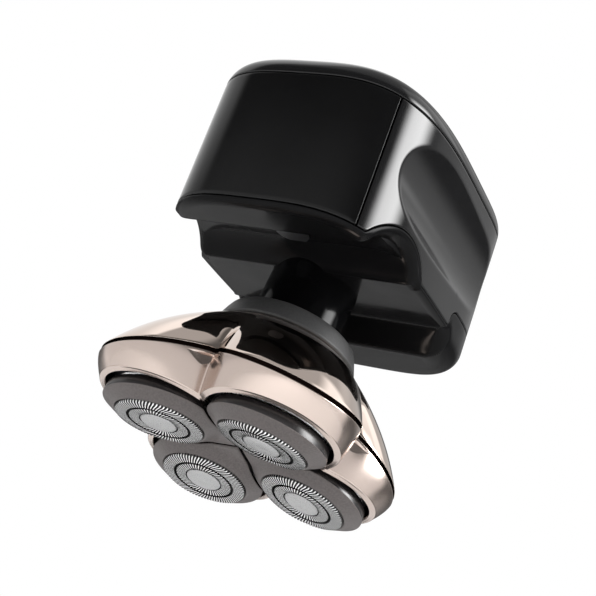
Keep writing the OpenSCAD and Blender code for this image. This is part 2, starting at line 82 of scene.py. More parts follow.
# Handle
PITCH, PITCH_Z = math.radians(8.8), 46.0
HALF_W, FRONT_D, REAR_D, WIDEST_V = 29.0, 48.0, 27.4, 10.5
FRONT_N, REAR_N = 3.45, 4.9
BASE_W, CAP_SEAM_W, TOP_W = 2.2, 35.2, 41.0
PANEL_LOW_W, PANEL_HALF_W, WALL = 3.5, 22.3, 2.0
CAP_ROUND = 5.0
LIP_DROP, LIP_ROUND = 1.6, 3.0
FOOT_V, FOOT_DROP, FOOT_ROUND, FOOT_CORNER_R, REAR_SEAM_W = 14.0, 5.8, 6.5, 4.0, 8.0
ARCH_R, ARCH_V, ARCH_W, BAND_W = 10.8, -17.2, -3.8, 2.8
SCOOP_DEPTH, SCOOP_YAW = 2.6, math.radians(2)
SCOOP_LOW_W, SCOOP_HIGH_W, SCOOP_START = 11.2, 31.4, -36.5
# Springs
HOLDER_SPRING_H, FLOAT_TRAVEL = 1.8, 1.2
BUTTON_SPRING_W, SWITCH_W, BUTTON_TRAVEL = 9.9, 12.6, 0.6
# Where the head axis and the disc plane lie in the object's frame
LIFT = (DISC_R - RIM_CHAMFER) * math.sin(math.radians(DISC_TILT))
FRONT_Y = (WIDEST_V - FRONT_D) * math.cos(PITCH) - CAP_SEAM_W * math.sin(PITCH)
BACK_Y = (WIDEST_V + REAR_D) * math.cos(PITCH) - BASE_W * math.sin(PITCH)
HEAD_Y = -(FRONT_Y + BACK_Y) / 2
# Small edge radii and half-gaps of the seams; the panel's side seam is given as a whole gap
EDGE, FINE_EDGE, PANEL_EDGE = 0.3, 0.12, 0.1
SEAM_GAP, HEAD_SEAM_GAP, PANEL_GAP = 0.12, 0.5, 0.3


# ---------------------------------------------------------------- small helpers
def mix(a, b, s):
    """The value that lies the share s of the way from a to b."""
    return a + (b - a) * s


def smoothstep(low, high, x):
    """0 up to low and 1 from high on, with a smooth rise between."""
    s = np.clip((x - low) / (high - low), 0, 1)
    return s * s * (3 - 2 * s)


def soft_min(a, b, k):
    """The smaller of a and b, with the switch between them rounded over a difference of k."""
    h = np.clip(0.5 + 0.5 * (b - a) / k, 0, 1)
    return mix(b, a, h) - k * h * (1 - h)


def soft_max(a, b, k):
    """The larger of a and b, rounded in the same way."""
    return -soft_min(-a, -b, k)


def edge_roll(distance, radius):
    """How far a rounded edge of that radius falls back at a distance from the edge."""
    d = np.clip(radius - distance, 0, radius)
    return radius - np.sqrt(radius * radius - d * d)


def head_frame(x, y, z):
    """Points given round the head axis, over the plane of the disc centres, in the object's frame."""
    return np.stack(np.broadcast_arrays(x, y + HEAD_Y, z + LIFT), axis=-1)


def handle_frame(x, v, w):
    """Points given in the pitched handle's coordinates, in the object's frame."""
    y = v * math.cos(PITCH) - w * math.sin(PITCH)
    z = PITCH_Z + v * math.sin(PITCH) + w * math.cos(PITCH)
    return head_frame(x, y, z)


def side_of(i):
    """Signs of head i's place: 1 front left, 2 front right, 3 rear left, 4 rear right."""
    return (-1 if i % 2 else 1), (-1 if i <= 2 else 1)


def disc_turn(i):
    """Rotation that tilts disc i away from the head axis."""
    sx, sy = side_of(i)
    return Matrix.Rotation(math.radians(DISC_TILT), 3, Vector((-sy, sx, 0)).normalized())


def disc_frame(i, x, y, z):
    """Points given in the tilted frame of disc i, in the object's frame."""
    sx, sy = side_of(i)
    p = np.stack(np.broadcast_arrays(x, y, z), axis=-1) @ np.array(disc_turn(i)).T
    return head_frame(p[..., 0] + sx * DISC_D, p[..., 1] + sy * DISC_D, p[..., 2])


# ---------------------------------------------------------------- meshes from grids of points
def make_mesh(name, points, faces, sharp_deg=50):
    """A smooth-shaded object from points in mm; edges sharper than sharp_deg stay crisp."""
    mesh = bpy.data.meshes.new(name)
    mesh.from_pydata((np.asarray(points) * MM).reshape(-1, 3).tolist(), [], faces)
    mesh.validate()
    mesh.update()
    mesh.polygons.foreach_set("use_smooth", [True] * len(mesh.polygons))
    mesh.set_sharp_from_angle(angle=math.radians(sharp_deg))
    obj = bpy.data.objects.new(name, mesh)
    bpy.context.scene.collection.objects.link(obj)
    return obj


def grid_faces(rows, columns, wrap_rows=False, wrap_columns=False):
    """Quads of a grid of rows by columns points, numbered row by row."""
    faces = []
    for j in range(rows if wrap_rows else rows - 1):
        row, next_row = j * columns, ((j + 1) % rows) * columns
        for k in range(columns if wrap_columns else columns - 1):
            n = (k + 1) % columns
            faces.append((row + k, row + n, next_row + n, next_row + k))
    return faces


def mirror_fill(first, count, flip=False):
    """Quads that close a loop whose point k mirrors point count - k across x = 0."""
    faces = []
    for k in range(count // 2):
        ring = [k, k + 1, (count - k - 1) % count, (count - k) % count]
        corners = list(dict.fromkeys(ring))
        if len(corners) > 2:
            faces.append(tuple(first + c for c in (reversed(corners) if flip else corners)))
    return faces


def ring_solid(name, loops):
    """Closed ring: loops is an array of sections round the axis, each a closed line of points."""
    stations, count = loops.shape[:2]
    return make_mesh(name, loops, grid_faces(stations, count, True, True))


def lathe(name, to_object, profile, count=192):
    """Solid of revolution from a list of (radius, height); to_object maps x, y, z to the object's frame."""
    profile = np.array(profile)
    turn = np.linspace(0, 2 * math.pi, count, endpoint=False)[:, None]
    r, z = profile[:, 0], profile[:, 1]
    points = to_object(r * np.cos(turn), r * np.sin(turn), z + 0 * turn)
    return make_mesh(name, points, grid_faces(count, len(profile), True, True))


def rounded(profile, radius, steps=4):
    """The closed profile with each corner cut back by radius and rounded."""
    profile = [np.array(p, float) for p in profile]
    out = []
    for k, corner in enumerate(profile):
        before = profile[k - 1] - corner
        after = profile[(k + 1) % len(profile)] - corner
        before_length, after_length = np.linalg.norm(before), np.linalg.norm(after)
        reach = min(radius, 0.45 * before_length, 0.45 * after_length)
        a = corner + before / before_length * reach
        b = corner + after / after_length * reach
        for s in np.linspace(0, 1, steps + 1):
            out.append(tuple(mix(mix(a, corner, s), mix(corner, b, s), s)))
    return out


# ---------------------------------------------------------------- outline of the handle
def plan(t, inset=0.0):
    """Outline of the handle at angle t from the front, moved in by inset: x and v."""
    s, c = np.sin(t), np.cos(t)
    power = 2 / np.where(c > 0, FRONT_N, REAR_N)
    depth = np.where(c > 0, FRONT_D, REAR_D) - inset
    x = (HALF_W - inset) * np.sign(s) * np.abs(s) ** power
    v = WIDEST_V - np.sign(c) * depth * np.abs(c) ** power
    return x, v


def even_angles(count, start=0.0, stop=2 * math.pi, ends=()):
    """Angles that part the outline from start to stop evenly; ends adds lengths in from both ends."""
    u = np.linspace(0, 1, 3000)
    quarter = math.pi / 2 * u * u * (3 - 2 * u)
    dense = np.concatenate([quarter[:-1] + q * math.pi / 2 for q in range(4)] + [[2 * math.pi]])
    x, v = plan(dense)
    length = np.concatenate([[0], np.cumsum(np.hypot(np.diff(x), np.diff(v)))])
    low, high = np.interp([start, stop], dense, length)
    places = np.linspace(low, high, count)
    extra = [low + e for e in ends] + [high - e for e in ends]
    places = np.unique(np.concatenate([places, extra]))
    return np.interp(places, length, dense)


def angle_at_x(x):
    """Angle at which the front of the outline has that half-width."""
    return math.asin((x / HALF_W) ** (FRONT_N / 2))


def seam_under_shell(v):
    """Height of the seam between shell and lower housing at place v."""
    arch_r = ARCH_R + BAND_W
    arch = ARCH_W + np.sqrt(np.clip(arch_r ** 2 - (v - ARCH_V) ** 2, 0, None))
    into_corner = np.clip(FOOT_V + FOOT_CORNER_R - v, 0, None)
    corner = np.sqrt(np.clip(FOOT_CORNER_R ** 2 - into_corner ** 2, 0, None))
    low = REAR_SEAM_W - FOOT_CORNER_R + corner
    rear = np.where(v > FOOT_V, low, PANEL_LOW_W)
    return soft_max(np.maximum(rear, PANEL_LOW_W), arch, 0.5)


def scooped(x, v, w):
    """x of a side wall after the long finger scoop is taken out of it."""
    middle = (SCOOP_LOW_W + SCOOP_HIGH_W) / 2
    chord = (SCOOP_HIGH_W - SCOOP_LOW_W) / 2
    r = (chord ** 2 + SCOOP_DEPTH ** 2) / (2 * SCOOP_DEPTH)
    side = np.abs(x)
    # Coordinates along and across the scoop's yawed axis, from the capsule's centre
    dx, dv = side - (HALF_W - SCOOP_DEPTH + r), v - WIDEST_V
    along = dv * math.cos(SCOOP_YAW) - dx * math.sin(SCOOP_YAW) - SCOOP_START
    reach = r * r - (w - middle) ** 2 - np.clip(-along, 0, None) ** 2
    across = np.sqrt(np.clip(reach, 0, None))
    axis_x = HALF_W - SCOOP_DEPTH + r + dv * math.tan(SCOOP_YAW)
    cut = np.where(reach > 0, axis_x - across / math.cos(SCOOP_YAW), 1e3)
    return np.sign(x) * soft_min(side, cut, 0.35)


def shell_band(name, t, low, high, displace=None, rows=90):
    """Wall on the outline at the angles t, between the heights low and high, with rounded edges."""
    steps = np.array([0, 0.08, 0.3, 0.6, 1.0]) * EDGE
    s = np.linspace(0, 1, rows)
    low_edge, high_edge = low[:, None] + steps, (high[:, None] - steps[::-1])
    between = mix(low[:, None] + EDGE, high[:, None] - EDGE, s[None, 1:-1])
    w = np.concatenate([low_edge, between, high_edge], axis=1)
    inset = edge_roll(np.minimum(w - low[:, None], high[:, None] - w), EDGE)
    x0, v0 = plan(t)
    along = np.concatenate([[0], np.cumsum(np.hypot(np.diff(x0), np.diff(v0)))])
    inset = inset + edge_roll(np.minimum(along, along[-1] - along), PANEL_EDGE)[:, None]
    x, v = plan(t[:, None], inset)
    if displace:
        x = displace(x, v, w)
    outer = handle_frame(x, v, w)
    w_in = mix(high[:, None], low[:, None], np.linspace(0, 1, 12)[None, :])
    x, v = plan(t[:, None], WALL)
    x, v = x + 0 * w_in, v + 0 * w_in
    if displace:
        side = np.sign(x)
        outer_x = displace(side * (np.abs(x) + WALL), v, w_in)
        x = side * np.minimum(np.abs(x), np.abs(outer_x) - WALL)
    inner = handle_frame(x, v, w_in)
    loops = np.concatenate([outer, inner], axis=1)
    stations, count = loops.shape[:2]
    faces = grid_faces(stations, count, False, True)
    ends = [tuple(range(count - 1, -1, -1)), tuple((stations - 1) * count + k for k in range(count))]
    return make_mesh(name, loops, faces + ends)


def add_main_shell():
    edge = angle_at_x(PANEL_HALF_W + PANEL_GAP / 2)
    t = even_angles(520, edge, 2 * math.pi - edge, ends=(0.02, 0.05, 0.1))
    low = seam_under_shell(plan(t)[1]) + SEAM_GAP
    return shell_band("shell_body", t, low, np.full_like(t, CAP_SEAM_W - SEAM_GAP), scooped)


def add_front_panel():
    edge = angle_at_x(PANEL_HALF_W - PANEL_GAP / 2)
    t = even_angles(160, 0, edge, ends=(0.02, 0.05, 0.1))
    t = t[(t > 1e-4) & (t <= edge + 1e-9)]
    t = np.concatenate([-t[::-1], [0.0], t])
    low = seam_under_shell(plan(t)[1]) + SEAM_GAP
    return shell_band("face_panel", t, low, np.full_like(t, CAP_SEAM_W - SEAM_GAP), rows=50)


def loops_solid(name, levels):
    """Solid of stacked loops: levels is a list of (x, v, w) round the outline; both ends are filled."""
    points = np.stack([handle_frame(*level) for level in levels])
    rows, count = points.shape[:2]
    faces = grid_faces(rows, count, False, True)
    faces += mirror_fill(0, count, flip=True) + mirror_fill((rows - 1) * count, count)
    return make_mesh(name, points, faces)


def add_top_cap():
    t = even_angles(521)[:-1]

    def level(inset, w):
        return (*plan(t, inset), w + 0 * t)

    low = CAP_SEAM_W + SEAM_GAP
    rise = TOP_W - CAP_SEAM_W
    inner = [level(k, TOP_W - WALL) for k in (24, 16, 8)]
    inner += [level(WALL + 1.2, TOP_W - 2.6), level(WALL, low)]
    edge = [level(edge_roll(d, EDGE), low + d) for d in (0, 0.03, 0.1, 0.2)]
    round_off = [level(CAP_ROUND * (1 - math.cos(a)), CAP_SEAM_W + rise * math.sin(a))
                 for a in np.radians(np.linspace(4, 90, 28))]
    top = [level(CAP_ROUND + k, TOP_W) for k in (1, 3, 7, 12, 19)]
    return loops_solid("cap_top", inner + edge + round_off + top)


def underside(v):
    """Height of the lower housing's underside at place v: lip, finger arch, flat and foot."""
    flat = np.where(v < ARCH_V, PANEL_LOW_W - LIP_DROP, BASE_W)
    arch = ARCH_W + np.sqrt(np.clip(ARCH_R ** 2 - (v - ARCH_V) ** 2, 0, None))
    slope = np.where(v > FOOT_V - 3, BASE_W - FOOT_DROP * (v - FOOT_V) / 5, 9)
    foot = soft_max(slope, BASE_W - FOOT_DROP, 0.9)
    return soft_max(soft_min(flat, foot, 0.9), arch, 0.9)


def add_lower_housing():
    t = even_angles(561)[:-1]
    v = plan(t)[1]
    seam = seam_under_shell(v) - SEAM_GAP
    base = underside(v)
    is_foot = smoothstep(FOOT_V, FOOT_V + 5, v)
    is_lip = 1 - smoothstep(ARCH_V - ARCH_R - 4, ARCH_V - ARCH_R + 2, v)
    top_round = mix(seam - EDGE, BASE_W + 1.0, is_foot)
    across = mix(mix(BAND_W, LIP_ROUND, is_lip), FOOT_ROUND, is_foot)
    across = np.minimum(across, 1.2 + 6 * np.clip(np.abs(seam - base - 1.3), 0, 5))

    def ring(inset, w):
        return (*plan(t, inset), w + 0 * t)

    def under(inset, turn):
        """Ring on the underside, or on the rounded edge where turn is under a quarter turn."""
        x, v = plan(t, inset)
        return x, v, underside(v) + (top_round - base) * (1 - math.sin(turn))

    rows = [ring(k, BASE_W + WALL + 2.5) for k in (24, 16, 8)]
    rows += [ring(WALL + 0.5, np.minimum(seam, 6)), ring(WALL, seam)]
    rows += [ring(edge_roll(d, EDGE), seam - d) for d in (0, 0.03, 0.1, 0.2, 0.3)]
    for s in np.linspace(0.2, 0.8, 4):
        rows.append(ring(0, mix(seam - EDGE, top_round, s)))
    for turn in np.radians(np.linspace(0, 90, 15)):
        rows.append(under(across * (1 - math.cos(turn)), turn))
    for s in np.linspace(0, 1, 52)[1:]:
        rows.append(under(mix(across, 27.0, s), math.pi / 2))
    return loops_solid("housing_low", rows)


# ---------------------------------------------------------------- outline of the head
def off_lobe(t):
    """Angle away from the nearest lobe's tip, in degrees."""
    return np.abs((np.degrees(t) % 90) - 45)


def lobe(t, d, r, soft):
    """Distance from the head axis to four lobes of radius r, d away, with the notches filled by soft."""
    def reach(off):
        off = np.radians(off)
        inside = r * r - (d * np.sin(off)) ** 2
        return np.where(inside > 0, d * np.cos(off) + np.sqrt(np.clip(inside, 0, None)), 0)

    off = off_lobe(t)
    return soft_max(reach(off), reach(90 - off), soft)


def head_seam(t):
    """Height of the seam between blade frame and hair chamber."""
    return SEAM_TIP_Z + SEAM_RISE * soft_min((off_lobe(t) / 45) ** 2, 0.985, 0.1)


def polar(t, r, z):
    """Points at angle t and distance r from the head axis, in the object's frame."""
    return head_frame(r * np.cos(t), r * np.sin(t), z)


def later_columns(obj, columns, first):
    """For a ring solid, which of its faces start at the section's point number first or later."""
    return [k % columns >= first for k in range(len(obj.data.polygons))]


def add_hair_chamber():
    """Gold dome over the gears: lobed at the seam, round at the collar. Its inner faces are marked for a
    near-black painted shade, which darkens the seam.
    """
    t = np.linspace(0, 2 * math.pi, 384, endpoint=False)[:, None]
    seam = head_seam(t) + HEAD_SEAM_GAP

    def shell(s, inset):
        soft = mix(0.5, 9, smoothstep(0, 0.6, s))
        out = lobe(t, LOBE_D, LOBE_R - inset, soft)
        r = mix(out, CHAMBER_TOP_R - inset, mix(s, 1 - np.cos(math.pi / 2 * s), CHAMBER_BULGE))
        z = mix(seam, CHAMBER_TOP_Z - inset * s, mix(s, np.sin(math.pi / 2 * s), CHAMBER_BULGE))
        return r, z

    s = np.linspace(0, 1, 60)[None, :]
    r, z = shell(s, 0.0)
    roll = np.array([0.0, 0.02, 0.05])[None, :]
    r_low, z_low = shell(roll / 20, edge_roll(roll, 0.05))
    r_in, z_in = shell(s[:, ::-6], GOLD_WALL)
    r_top = np.full((len(t), 2), HOUSING_R)
    z_top = CHAMBER_TOP_Z + np.array([0.3, -GOLD_WALL]) + 0 * t
    r = np.concatenate([r_low, r[:, 2:], r_top, r_in], axis=1)
    z = np.concatenate([z_low, z[:, 2:], z_top, z_in], axis=1)
    chamber = ring_solid("chamber_shell", polar(t, r, z))
    return chamber, later_columns(chamber, r.shape[1], r_low.shape[1] + s.shape[1] - 2)


def nail_dent(t, r, z, seam):
    """Depth of the thumb-nail dent under the seam, a smooth hollow across the notch between two lobes."""
    off = np.radians(45 - off_lobe(t))
    down = seam - DENT_DROP - z
    aside = np.hypot(r * np.sin(off), DENT_ROUND)
    floor = DENT_FLOOR + DENT_SPREAD * aside + np.clip(down, 0, None) * (0.07 + 0.12 * aside)
    return np.clip(r * np.cos(off) - floor, 0, GOLD_WALL) * smoothstep(0, 0.15, down)


def add_blade_frame():
    """Gold frame under the seam: a lip round the discs, lobed walls with dents, and a tongue. Its inner
    faces are marked for a near-black painted shade, which darkens the seam."""
    t = np.linspace(0, 2 * math.pi, 768, endpoint=False)[:, None]
    seam = head_seam(t) - HEAD_SEAM_GAP

    def shell(s, inset, soft=0.7):
        d = mix(FRAME_LOW_D, LOBE_D, s)
        return lobe(t, d, mix(FRAME_LOW_R, LOBE_R, np.sin(math.pi / 2 * s)) - inset, soft)

    inset = np.array([FRAME_LIP + 0.15, FRAME_LIP, FRAME_LIP - 0.1, 0.7, 0.35])[None, :]
    r_lip = shell(0 * inset, inset, mix(0.7, 3.0, inset / FRAME_LIP))
    z_lip = FRAME_LOW_Z + np.array([0.1, -0.2, -0.3, -0.1, 0]) + 0 * t
    edge = np.array([0.0, 0.03, 0.1])[None, :]
    r_edge = shell(0 * edge, edge_roll(edge, 0.2))
    z_edge = FRAME_LOW_Z + edge + 0 * t
    s = np.linspace(0.0, 1.0, 84)[None, :]
    z_wall = mix(FRAME_LOW_Z + 0.2, seam - 0.15, s)
    r_wall = shell(s, 0.0)
    r_wall = r_wall - nail_dent(t, r_wall, z_wall, seam)
    top = np.array([FINE_EDGE, 0.08, 0.03, 0.0])[None, :]
    r_top = shell(1 + 0 * top, edge_roll(top, FINE_EDGE))
    # A locating tongue stands inside the chamber's wall and closes the view through the seam; with the inner
    # faces it gets the near-black painted shade
    tongue = np.array([0.15, 0.15, 0.55, 0.55])[None, :]
    rise = np.array([0.0, TONGUE_H, TONGUE_H, -0.5])[None, :]
    s_in = np.array([0.66, 0.33, 0.12])[None, :]
    r_tongue = shell(1 + 0 * tongue, FRAME_LIP + tongue, 3.0)
    r_in = np.concatenate([r_tongue, shell(s_in, FRAME_LIP + 0.15, 3.0)], axis=1)
    z_in = np.concatenate([seam + rise, mix(FRAME_LOW_Z, seam, s_in)], axis=1)
    r = np.concatenate([r_lip, r_edge, r_wall, r_top, r_in], axis=1)
    z = np.concatenate([z_lip, z_edge, z_wall, seam - top, z_in], axis=1)
    blade_frame = ring_solid("blade_shell", polar(t, r, z))
    return blade_frame, later_columns(blade_frame, r.shape[1], r.shape[1] - r_in.shape[1] - 1)


def add_collar():
    top, low = COLLAR_TOP_Z, CHAMBER_TOP_Z
    profile = [(HOUSING_R, low + 0.45), (CHAMBER_TOP_R - 0.1, low + 0.15),
               (CHAMBER_TOP_R + 0.25, low + 0.7), (COLLAR_TOP_R + 0.5, top - 1.5),
               (COLLAR_TOP_R - 0.1, top - 0.2), (COLLAR_TOP_R - 0.9, top), (HOUSING_R, top - 0.4)]
    return lathe("collar_soft", head_frame, rounded(profile, 0.5))


def add_neck():
    low, root = NECK_LOW_Z, NECK_ROOT_Z
    profile = [(NECK_R - 2, low), (NECK_R - 0.2, low), (NECK_R, low + 0.3), (NECK_R, NECK_HIGH_Z),
               (NECK_R, root - 0.2), (NECK_R + 2, root), (NECK_R - 2, root)]
    return lathe("neck_round", head_frame, rounded(profile, 0.2, 2))


# ---------------------------------------------------------------- cutter units
def add_petal(i):
    """Holder of one disc: a rounded plate with a square corner at the head axis and a round well. Its
    outer side faces are marked for a near-black painted shade."""
    sx, sy = side_of(i)
    a = np.linspace(0, 2 * math.pi, 288, endpoint=False)[:, None]
    c, s = np.cos(a), np.sin(a)
    limit = DISC_D - PETAL_GAP
    wall_x = np.where(c * sx < -1e-6, limit / np.maximum(-c * sx, 1e-6), 1e3)
    wall_y = np.where(s * sy < -1e-6, limit / np.maximum(-s * sy, 1e-6), 1e3)
    box = np.minimum(wall_x, wall_y)
    corner = (c * sx < 0) & (s * sy < 0)
    outline = np.where(corner, box, np.minimum(PETAL_R, box))
    turn = np.linspace(0, math.pi / 2, 6)[1:]
    face_start = WELL_R + EDGE

    def face(r):
        """Height of the face, a shallow cone that runs out flat towards the square corner."""
        share = (r - face_start) / (PETAL_R - face_start)
        return mix(FACE_LOW, PETAL_LOW, soft_min(share, 1, 0.08))

    def ring(r, z):
        return r + 0 * a, z + 0 * a

    rows = [ring(WELL_R + 1.0, PETAL_TOP), ring(WELL_R, PETAL_TOP - 0.6), ring(WELL_R, FACE_LOW + EDGE)]
    for b in turn:
        rows.append(ring(WELL_R + EDGE * (1 - math.cos(b)), FACE_LOW + EDGE * (1 - math.sin(b))))
    for share in np.linspace(0, 1, 9)[1:]:
        r = mix(face_start, outline - EDGE, share)
        rows.append(ring(r, face(r)))
    edge_z = face(outline - EDGE)
    for b in turn:
        rows.append(ring(outline - EDGE * (1 - math.sin(b)), edge_z + EDGE * (1.2 - math.cos(b))))
    rows += [ring(outline - 0.3, PETAL_TOP - 0.3), ring(outline - 0.5, PETAL_TOP)]
    rows += [ring(outline - 1.0, PETAL_TOP)]
    r = np.concatenate([row[0] for row in rows], axis=1)
    z = np.concatenate([row[1] for row in rows], axis=1)
    petal = ring_solid(f"petal_{i}", disc_frame(i, r * c, r * s, z))
    return petal, later_columns(petal, len(rows), len(rows) - 4)


def turned_points(profile, angles):
    """Points of a profile of (radius, height) turned to the angles, given for each of its points."""
    r, z = profile[:, 0], profile[:, 1]
    return np.stack([r * np.cos(angles), r * np.sin(angles), z + 0 * angles], axis=-1).reshape(-1, 3)


def slotted_ring(profile, slots=48, share=0.4, cut=(), twist=0.0):
    """Points and faces of a turned sheet with radial slots, and which faces lie in a slot or at the back and
    get the painted shade.

    profile is a list of (radius, height); share is the slot's part of its pitch; cut holds the profile steps
    that a slot crosses; twist leans the slots."""
    profile = np.array(profile)
    steps = len(profile)
    count = slots * SLOT_CELLS
    layer = count * steps
    inside = np.array([0, 0.5, 1.0]) * share
    outside = mix(share, 1, np.array([1 / 3, 2 / 3, 1.0]))
    offsets = np.concatenate([inside, outside])[:SLOT_CELLS]
    pitch = 2 * math.pi / slots
    a = (np.arange(slots)[:, None] * pitch + offsets[None, :] * pitch).reshape(-1, 1)
    a = a + twist * (profile[:, 0] - profile[:, 0].mean())[None, :]
    along = np.gradient(profile, axis=0)
    normal = np.stack([-along[:, 1], along[:, 0]], axis=1)
    normal /= np.linalg.norm(normal, axis=1)[:, None]
    back = profile + normal * SHEET
    points = np.concatenate([turned_points(profile, a), turned_points(back, a)])

    def is_open(k, j):
        return j in cut and (k % SLOT_CELLS) < 2

    faces, shade_faces = [], []
    for k in range(count):
        n = (k + 1) % count
        for j in range(steps - 1):
            if is_open(k, j):
                continue
            p = [k * steps + j, n * steps + j, n * steps + j + 1, k * steps + j + 1]
            faces += [tuple(reversed(p)), tuple(layer + q for q in p)]
            shade_faces += [False, True]
            sides = [(is_open((k - 1) % count, j), p[3], p[0]), (is_open(n, j), p[1], p[2]),
                     (j == 0 or is_open(k, j - 1), p[0], p[1]),
                     (j == steps - 2 or is_open(k, j + 1), p[2], p[3])]
            walls = [(q, r, layer + r, layer + q) for needed, q, r in sides if needed]
            faces += walls
            shade_faces += [True] * len(walls)
    return points, faces, shade_faces


def add_comb(i):
    """Steel comb: two tracks of leaning slots, a groove between them and a rim that the slots run over.
    The faces inside the slots and the groove are marked for a near-black painted shade."""
    inner = CAP_R + 0.05
    low, high = GROOVE_R - 0.28, GROOVE_R + 0.18
    groove = [(low + 0.05, GROOVE_DEPTH), (high - 0.05, GROOVE_DEPTH)]
    face = [(inner - 0.5, 0.3), (inner, 0.1), (inner + 0.12, 0.02), (inner + 1.2, 0), (low - 0.1, 0),
            (low, 0.08), groove[0]]
    rim = [groove[1], (high, 0.08), (high + 0.1, 0), (8.4, 0), (DISC_R - RIM_CHAMFER, 0.02),
           (DISC_R - 0.12, 0.14), (DISC_R, 0.45), (DISC_R - 0.02, 1.1), (DISC_R - 0.3, 1.4),
           (DISC_R - 0.3, 3.0)]
    parts = [slotted_ring(face, 54, 0.6, (2, 3), 0.05), slotted_ring(rim, 80, 0.6, (2, 3, 4, 5, 6), 0.045),
             slotted_ring(groove)]
    points, faces, shade_faces, start = [], [], [], 0
    for part_points, part_faces, part_shade_faces in parts:
        points.append(part_points)
        faces += [tuple(start + q for q in corners) for corners in part_faces]
        shade_faces += part_shade_faces
        start += len(part_points)
    points = np.concatenate(points)
    # The groove's walls and floor lie deeper than the tracks and inside the rim, so they get the painted
    # shade too
    sunk = (points[:, 2] > 0.05) & (np.hypot(points[:, 0], points[:, 1]) < DISC_R - RIM_CHAMFER)
    shade_faces = [dark or sunk[list(corners)].sum() > 1 for dark, corners in zip(shade_faces, faces)]
    comb = make_mesh(f"comb_{i}", disc_frame(i, *points.T), faces, sharp_deg=35)
    return comb, shade_faces


def add_cap(i):
    """Centre cap of a comb, slightly crowned."""
    side = CAP_R - 0.1
    profile = [(0.02, -0.34), (2.2, -0.33), (side - 0.45, -0.27), (side, 0.0), (side, 0.32), (0.02, 0.32)]
    return lathe(f"cap_{i}", lambda x, y, z: disc_frame(i, x, y, z), rounded(profile, FINE_EDGE, 3), 160)


# ---------------------------------------------------------------- materials
def shader(name, color, metallic=0.0, roughness=0.5, specular=0.5):
    """A principled material with its fixed numbers set on the sockets."""
    mat = bpy.data.materials.new(name)
    mat.use_nodes = True
    bsdf = mat.node_tree.nodes["Principled BSDF"]
    bsdf.inputs["Base Color"].default_value = (*color, 1)
    bsdf.inputs["Metallic"].default_value = metallic
    bsdf.inputs["Roughness"].default_value = roughness
    bsdf.inputs["Specular IOR Level"].default_value = specular
    return mat, mat.node_tree.nodes, mat.node_tree.links, bsdf


def object_noise(nodes, links, scale, detail):
    """Noise in object coordinates; the objects sit at the origin, so its scale is per metre."""
    coordinates = nodes.new("ShaderNodeTexCoord")
    noise = nodes.new("ShaderNodeTexNoise")
    noise.inputs["Scale"].default_value = scale
    noise.inputs["Detail"].default_value = detail
    links.new(coordinates.outputs["Object"], noise.inputs["Vector"])
    return noise.outputs["Fac"]


def ramp(nodes, links, source, low, high):
    """Number that goes from low to high over the middle of the source's range."""
    node = nodes.new("ShaderNodeMapRange")
    node.inputs["From Min"].default_value = 0.3
    node.inputs["From Max"].default_value = 0.7
    node.inputs["To Min"].default_value = low
    node.inputs["To Max"].default_value = high
    links.new(source, node.inputs["Value"])
    return node.outputs["Result"]


def color_ramp(nodes, links, source, low, high, start=0.3, stop=0.7):
    """Colour that goes from low to high as the source goes from start to stop."""
    node = nodes.new("ShaderNodeValToRGB")
    node.color_ramp.elements[0].position = start
    node.color_ramp.elements[1].position = stop
    node.color_ramp.elements[0].color = (*low, 1)
    node.color_ramp.elements[1].color = (*high, 1)
    links.new(source, node.inputs["Fac"])
    return node.outputs["Color"]


def bump(nodes, links, bsdf, height, strength, distance):
    """Relief from a height signal, distance deep in metres."""
    node = nodes.new("ShaderNodeBump")
    node.inputs["Strength"].default_value = strength
    node.inputs["Distance"].default_value = distance
    links.new(height, node.inputs["Height"])
    links.new(node.outputs["Normal"], bsdf.inputs["Normal"])


def gloss_plastic(name, color, roughness, specular=0.5):
    """Polished moulded plastic: a trace of orange peel and of handling haze."""
    mat, nodes, links, bsdf = shader(name, color, roughness=roughness, specular=specular)
    haze = object_noise(nodes, links, 90, 5)
    links.new(ramp(nodes, links, haze, roughness * 0.7, roughness * 1.5), bsdf.inputs["Roughness"])
    cloud = object_noise(nodes, links, 35, 3)
    tone = [c * 1.6 + 0.001 for c in color]
    links.new(color_ramp(nodes, links, cloud, color, tone), bsdf.inputs["Base Color"])
    bump(nodes, links, bsdf, object_noise(nodes, links, 420, 2), 0.06, 0.00003)
    return mat


def plated(name, color, dark, roughness, wave):
    """Plated plastic: metal with slow, slight waves in it and a fine satin grain."""
    mat, nodes, links, bsdf = shader(name, color, metallic=1.0, roughness=roughness)
    slow, fine = object_noise(nodes, links, 25, 2), object_noise(nodes, links, 900, 3)
    links.new(color_ramp(nodes, links, slow, dark, color, 0.25, 0.6), bsdf.inputs["Base Color"])
    links.new(ramp(nodes, links, fine, roughness * 0.9, roughness * 1.1), bsdf.inputs["Roughness"])
    bump(nodes, links, bsdf, object_noise(nodes, links, wave, 1), 0.1, 0.0002)
    return mat


def grained(name, low, high, roughness, scale, depth):
    """Matte plastic or rubber with a fine spark-eroded grain."""
    mat, nodes, links, bsdf = shader(name, low, roughness=roughness, specular=0.4)
    fine, slow = object_noise(nodes, links, scale, 6), object_noise(nodes, links, 120, 3)
    links.new(color_ramp(nodes, links, fine, low, high), bsdf.inputs["Base Color"])
    links.new(ramp(nodes, links, slow, roughness * 0.85, roughness * 1.15), bsdf.inputs["Roughness"])
    bump(nodes, links, bsdf, fine, 0.35, depth)
    return mat


